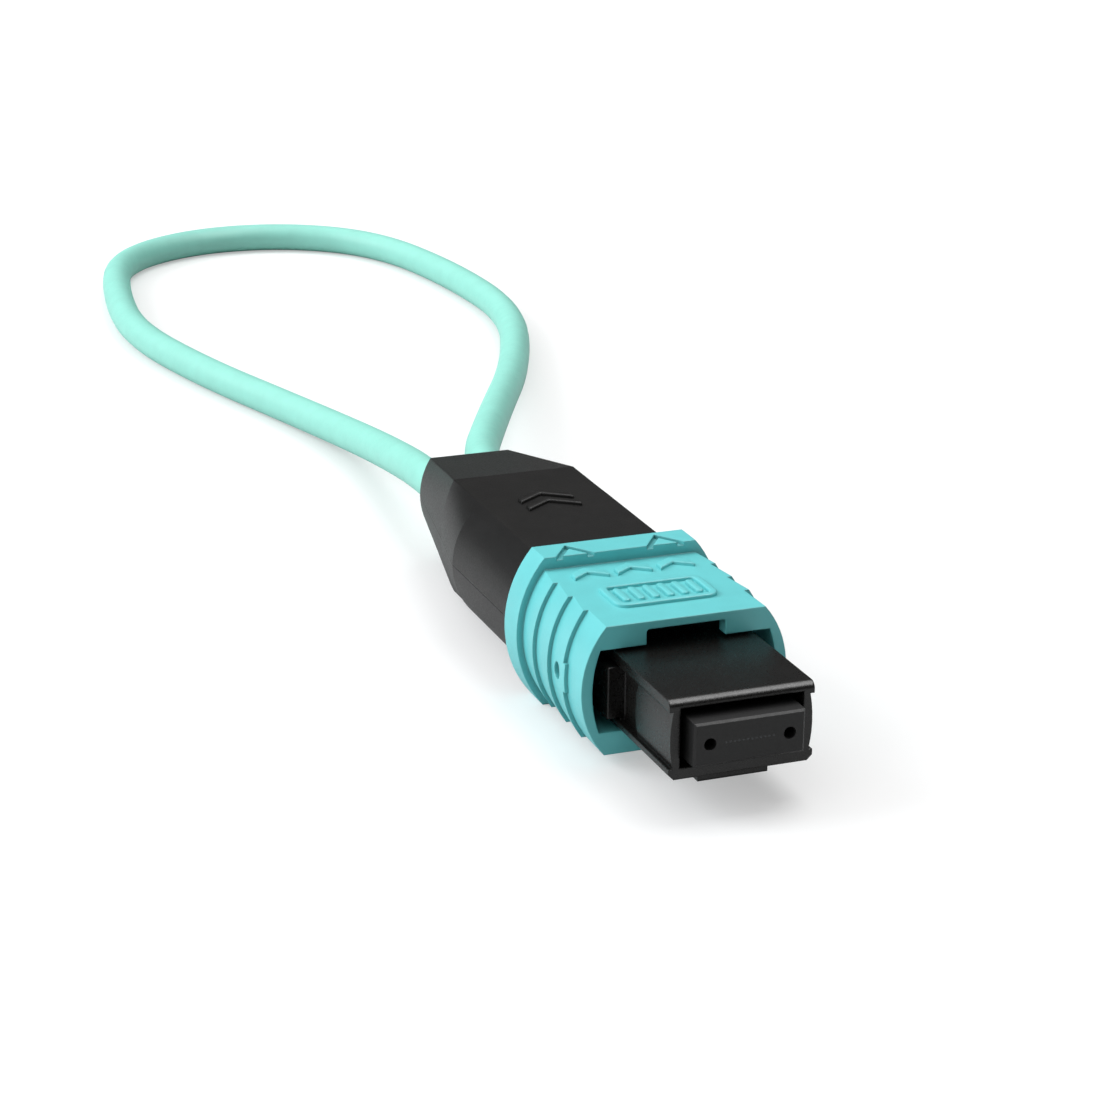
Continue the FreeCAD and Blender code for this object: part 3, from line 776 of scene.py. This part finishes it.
class LOOPBACK_OT_finishes(bpy.types.Operator):
    """Give every moulded and metal part of the plug its finish"""

    bl_idname = "loopback.finishes"
    bl_label = "Finish the parts"

    def execute(self, context):
        settings = context.scene.loopback_finish
        sleeve = moulded(
            "sleeve aqua",
            settings.aqua,
            lighter=brighter(settings.aqua, 1.18),
            rough=0.36,
            spread=0.06,
            grain_height=0.18,
            # The sleeve gets painted shade in its creases, down to 0.68 of its colour.
            crease_shade=0.68,
        )
        housing = moulded(
            "housing black",
            settings.black,
            lighter=brighter(settings.black, 3.0),
            rough=0.30,
            spread=0.05,
            edge_radius=0.00014,
        )
        shell = moulded(
            "shell black",
            settings.shell,
            lighter=brighter(settings.shell, 3.0),
            rough=0.40,
            spread=0.06,
            edge_radius=0.00016,
            shine=0.4,
        )
        resin = moulded(
            "ferrule resin",
            settings.ferrule,
            lighter=brighter(settings.ferrule, 1.5),
            rough=0.52,
            spread=0.06,
            edge_radius=0.00004,
        )
        rubber = moulded("boot rubber", *RUBBER, rough=0.6, spread=0.08)
        keeper = moulded("keeper plastic", *KEEPER, rough=0.45, spread=0.06)
        glass = moulded("fibre glass", *GLASS, rough=0.2, spread=0.05, edge_radius=0.00001)
        brass = metal("collar brass", BRASS)
        for node, finish in (
            ("mt_ferrule", resin),
            ("fibre_array", glass),
            ("ferrule_boot", rubber),
            ("pin_keeper", keeper),
            ("inner_housing", housing),
            ("spring_push", housing),
            ("coupling_sleeve", sleeve),
            ("upper_shell", shell),
            ("lower_shell", shell),
            ("jacket_collar_left", brass),
            ("jacket_collar_right", brass),
        ):
            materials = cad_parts[node].data.materials
            materials.clear()
            materials.append(finish)
        return {"FINISHED"}


class LOOPBACK_OT_springs(bpy.types.Operator):
    """Wind the oval ferrule spring and the two sleeve springs"""

    bl_idname = "loopback.springs"
    bl_label = "Wind the springs"

    # Corners round the wire, and steps in each turn of a coil.
    WIRE_SIDES = 10
    TURN_STEPS = 28

    def execute(self, context):
        settings = context.scene.loopback_springs
        steel = metal("spring steel", STEEL)
        low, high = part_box("ferrule_spring")
        wire = settings.main_wire
        main = self.coil(settings.main_width, wire, settings.main_turns, low.y, high.y)
        squeeze = (1.0, 1.0, (settings.main_height - wire) / (settings.main_width - wire))
        shape(bpy.ops.transform.resize, value=squeeze, center_override=(0.0, 0.0, 0.0))
        settle(main, "oval_spring", steel, "connector_body")
        give_way(main, "ferrule_spring")
        wire = settings.side_wire
        for side in ("left", "right"):
            node = f"sleeve_spring_{side}"
            low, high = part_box(node)
            spring = self.coil(settings.side_coil + wire, wire, settings.side_turns, low.y, high.y)
            seat = ((low.x + high.x) / 2, 0.0, (low.z + high.z) / 2)
            shape(bpy.ops.transform.translate, value=seat)
            settle(spring, f"return_spring_{side}", steel, "connector_body")
            give_way(spring, node)
        return {"FINISHED"}

    def coil(self, outer, wire, turns, front, rear):
        """A capped wire wound about the Y axis between two places."""
        fresh()
        start = ((outer - wire) / 2, front + wire / 2, 0.0)
        bpy.ops.mesh.primitive_circle_add(
            vertices=self.WIRE_SIDES, radius=wire / 2, location=start, fill_type="NOTHING"
        )
        spring = bpy.context.object
        bpy.ops.object.transform_apply(location=True, rotation=True, scale=True)
        apply_modifier(
            spring,
            "SCREW",
            "winding",
            axis="Y",
            angle=turns * 2 * math.pi,
            screw_offset=rear - front - wire,
            steps=int(turns * self.TURN_STEPS),
            render_steps=int(turns * self.TURN_STEPS),
            use_normal_calculate=True,
            use_smooth_shade=True,
        )
        shape(bpy.ops.mesh.fill_holes, sides=0)
        shape(bpy.ops.mesh.normals_make_consistent, inside=False)
        return spring


class LOOPBACK_OT_ribbon(bpy.types.Operator):
    """Lay the fibre ribbon in two halves that part towards the cable ends"""

    bl_idname = "loopback.ribbon"
    bl_label = "Lay the ribbon"

    # Where the halves part, and where they are as far apart as the cable's two ends.
    FORK = 0.0245
    PARTED = 0.0375
    # Faces nearer than this to a place stand at it.
    SAME_PLACE = 0.00001
    MATRIX = (0.75, 0.72, 0.60)
    FIBRES = (0.60, 0.66, 0.62)

    def execute(self, context):
        settings = context.scene.loopback_ribbon
        finish = self.finish()
        low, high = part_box("fibre_ribbon")
        width = settings.width / 2
        leg = CABLE_ROUTE[-1][0]
        halves = []
        for side in (-1, 1):
            fresh()
            bpy.ops.mesh.primitive_cube_add(size=1.0)
            half = context.object
            bpy.ops.object.mode_set(mode="EDIT")
            bpy.ops.transform.resize(value=(width, self.FORK - low.y, settings.thickness))
            bpy.ops.transform.translate(value=(side * width / 2, (self.FORK + low.y) / 2, 0.0))
            self.draw_out(half, self.FORK, (side * (leg - width / 2), self.PARTED - self.FORK, 0.0))
            self.draw_out(half, self.PARTED, (0.0, high.y - self.PARTED, 0.0))
            bpy.ops.object.mode_set(mode="OBJECT")
            halves.append(half)
        fresh()
        for half in halves:
            half.select_set(True)
        context.view_layer.objects.active = halves[0]
        bpy.ops.object.join()
        ribbon = settle(context.object, "ribbon", finish, "connector_body")
        give_way(ribbon, "fibre_ribbon")
        return {"FINISHED"}

    def draw_out(self, half, place, step):
        """Draw the end face that stands at a place out by one step."""

        def is_end(middle, face):
            return abs(middle.y - place) < self.SAME_PLACE and abs(face.normal.y) > 0.9

        pick(half, "FACE", is_end)
        bpy.ops.mesh.extrude_region_move(TRANSFORM_OT_translate={"value": step})

    def finish(self):
        """Clear matrix over pale fibres."""
        material, tree, shader = new_material("ribbon")
        colour = tinted(tree, noise(tree, Scale=3000.0), self.MATRIX, self.FIBRES)
        feed(tree, shader, {"Base Color": colour, "Roughness": 0.35})
        return material


class LOOPBACK_OT_marks(bpy.types.Operator):
    """Raise the plain grip frame, bars and arrowheads on the sleeve and the shell"""

    bl_idname = "loopback.marks"
    bl_label = "Raise the grip marks"

    # The height of the sleeve's flat top, and where its marks lie along it.
    PANEL = 0.00378
    FRAME_PLACE = 0.0125
    ARROW_PLACE = 0.0161
    # The frame's corner radius, and the bars' as a share of their breadth.
    FRAME_CORNER = 0.0007
    BAR_CORNER = 0.45
    # From one bar to the next, and from one arrowhead to the next as a share of its width.
    BAR_PITCH = 0.00088
    ARROW_PITCH = 1.25
    # The shell's arrowheads: width and line of each, place of the first, pitch and number.
    SHELL_ARROW = (0.0034, 0.0004)
    SHELL_PLACE = 0.0285
    SHELL_PITCH = 0.0014
    SHELL_ARROWS = 2
    # An arrowhead's bars along the plug, in lines, and how far its tip stands out, in widths.
    ARROW_DEPTH = 1.7
    ARROW_TIP = 0.36
    # In rises: the rounding of the upper edges, and the level above which an edge is an upper one.
    EDGE_ROUND = 0.35
    EDGE_LEVEL = 0.9
    SMOOTH_ANGLE = math.radians(40)

    def execute(self, context):
        settings = context.scene.loopback_marks
        aqua = bpy.data.materials["sleeve aqua"]
        black = bpy.data.materials["shell black"]
        line = settings.line

        def raise_on_sleeve(piece, name):
            rides = (aqua, "pull_sleeve", "aqua_plastic")
            self.raise_up(piece, self.PANEL, settings.rise, name, *rides)

        size = (settings.frame_width, settings.frame_length)
        border = self.sheet(size, (0.0, self.FRAME_PLACE), self.FRAME_CORNER)
        bpy.ops.mesh.inset(thickness=line)
        bpy.ops.mesh.delete(type="FACE")
        raise_on_sleeve(border, "grip_frame")

        pitch = self.BAR_PITCH
        first = (-pitch * (settings.bars - 1) / 2, self.FRAME_PLACE)
        bars = self.sheet((line, settings.bar_length), first, line * self.BAR_CORNER)
        self.row(bars, settings.bars, (pitch, 0.0, 0.0))
        raise_on_sleeve(bars, "grip_bars")

        pitch = settings.arrow_width * self.ARROW_PITCH
        first = (-pitch * (settings.arrows - 1) / 2, self.ARROW_PLACE)
        arrows = self.arrow(settings.arrow_width, line, first)
        self.row(arrows, settings.arrows, (pitch, 0.0, 0.0))
        raise_on_sleeve(arrows, "grip_arrows")

        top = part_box("upper_shell")[1].z
        arrows = self.arrow(*self.SHELL_ARROW, (0.0, self.SHELL_PLACE))
        self.row(arrows, self.SHELL_ARROWS, (0.0, self.SHELL_PITCH, 0.0))
        rides = (black, "connector_body", "shell_plastic")
        self.raise_up(arrows, top, settings.rise, "shell_arrows", *rides)
        return {"FINISHED"}

    def plane(self, size):
        """A flat rectangle, left in edit mode."""
        fresh()
        bpy.ops.mesh.primitive_plane_add(size=1.0)
        bpy.ops.object.mode_set(mode="EDIT")
        bpy.ops.transform.resize(value=(*size, 1.0))
        return bpy.context.object

    def sheet(self, size, place, corner):
        """A flat sheet with rounded corners, left in edit mode with its face selected."""
        piece = self.plane(size)
        bpy.ops.transform.translate(value=(*place, 0.0))
        bpy.ops.mesh.bevel(offset=corner, segments=5, affect="VERTICES")
        bpy.ops.mesh.select_all(action="SELECT")
        return piece

    def arrow(self, width, line, place):
        """A flat arrowhead of two bars that points to the rear, left in edit mode."""
        piece = self.plane((width, line * self.ARROW_DEPTH))
        bpy.ops.mesh.subdivide(number_cuts=1)
        # The corners on the middle line become the tip.
        pick(piece, "VERT", lambda spot, vertex: abs(spot.x) < width * 0.01)
        bpy.ops.transform.translate(value=(0.0, width * self.ARROW_TIP, 0.0))
        bpy.ops.mesh.select_all(action="SELECT")
        bpy.ops.transform.translate(value=(*place, 0.0))
        return piece

    def row(self, piece, count, step):
        """Repeat a flat mark in even steps."""
        bpy.ops.object.mode_set(mode="OBJECT")
        apply_modifier(
            piece,
            "ARRAY",
            "row",
            count=count,
            use_relative_offset=False,
            use_constant_offset=True,
            constant_offset_displace=step,
        )

    def raise_up(self, piece, top, rise, name, material, body, slot):
        """Give a flat mark its thickness, from under the surface to its rise, and round its top."""
        if bpy.context.mode != "OBJECT":
            bpy.ops.object.mode_set(mode="OBJECT")
        apply_modifier(piece, "SOLIDIFY", "thickness", thickness=2 * rise, offset=1.0)
        bpy.ops.object.mode_set(mode="EDIT")
        bpy.ops.mesh.select_all(action="SELECT")
        bpy.ops.mesh.normals_make_consistent(inside=False)
        bpy.ops.transform.translate(value=(0.0, 0.0, top - rise))
        level = top + rise * self.EDGE_LEVEL
        pick(piece, "EDGE", lambda spot, edge: spot.z > level and self.is_rim(edge))
        bpy.ops.mesh.bevel(
            offset=rise * self.EDGE_ROUND, segments=3, affect="EDGES", clamp_overlap=True
        )
        fresh()
        piece.select_set(True)
        bpy.context.view_layer.objects.active = piece
        bpy.ops.object.shade_smooth_by_angle(angle=self.SMOOTH_ANGLE)
        settle(piece, name, material, body)

    def is_rim(self, edge):
        """Whether an edge joins the flat top to a side, at 60 degrees or more."""
        faces = edge.link_faces
        return len(faces) == 2 and faces[0].normal.dot(faces[1].normal) < 0.5


# The steps in the order in which the panel shows them: name of the settings, settings, operator.
STEPS = (
    ("loopback_stage", StageSettings, LOOPBACK_OT_stage),
    ("loopback_cable", CableSettings, LOOPBACK_OT_cable),
    ("loopback_finish", FinishSettings, LOOPBACK_OT_finishes),
    ("loopback_springs", SpringSettings, LOOPBACK_OT_springs),
    ("loopback_ribbon", RibbonSettings, LOOPBACK_OT_ribbon),
    ("loopback_marks", MarkSettings, LOOPBACK_OT_marks),
)


class LOOPBACK_PT_panel(bpy.types.Panel):
    """The steps of the plug and their sizes"""

    bl_idname = "LOOPBACK_PT_panel"
    bl_label = "Loopback plug"
    bl_space_type = "VIEW_3D"
    bl_region_type = "UI"
    bl_category = "Loopback"

    def draw(self, context):
        for name, group, operator in STEPS:
            box = self.layout.box()
            for field in group.__annotations__:
                box.prop(getattr(context.scene, name), field)
            box.operator(operator.bl_idname)


def register():
    for name, group, operator in STEPS:
        bpy.utils.register_class(group)
        setattr(bpy.types.Scene, name, PointerProperty(type=group))
        bpy.utils.register_class(operator)
    bpy.utils.register_class(LOOPBACK_PT_panel)


def unregister():
    bpy.utils.unregister_class(LOOPBACK_PT_panel)
    for name, group, operator in reversed(STEPS):
        bpy.utils.unregister_class(operator)
        delattr(bpy.types.Scene, name)
        bpy.utils.unregister_class(group)


def main():
    register()
    bpy.ops.loopback.stage()
    bpy.ops.loopback.cable()
    bpy.ops.loopback.finishes()
    bpy.ops.loopback.springs()
    bpy.ops.loopback.ribbon()
    bpy.ops.loopback.marks()
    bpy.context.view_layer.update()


if __name__ == "__main__":
    main()
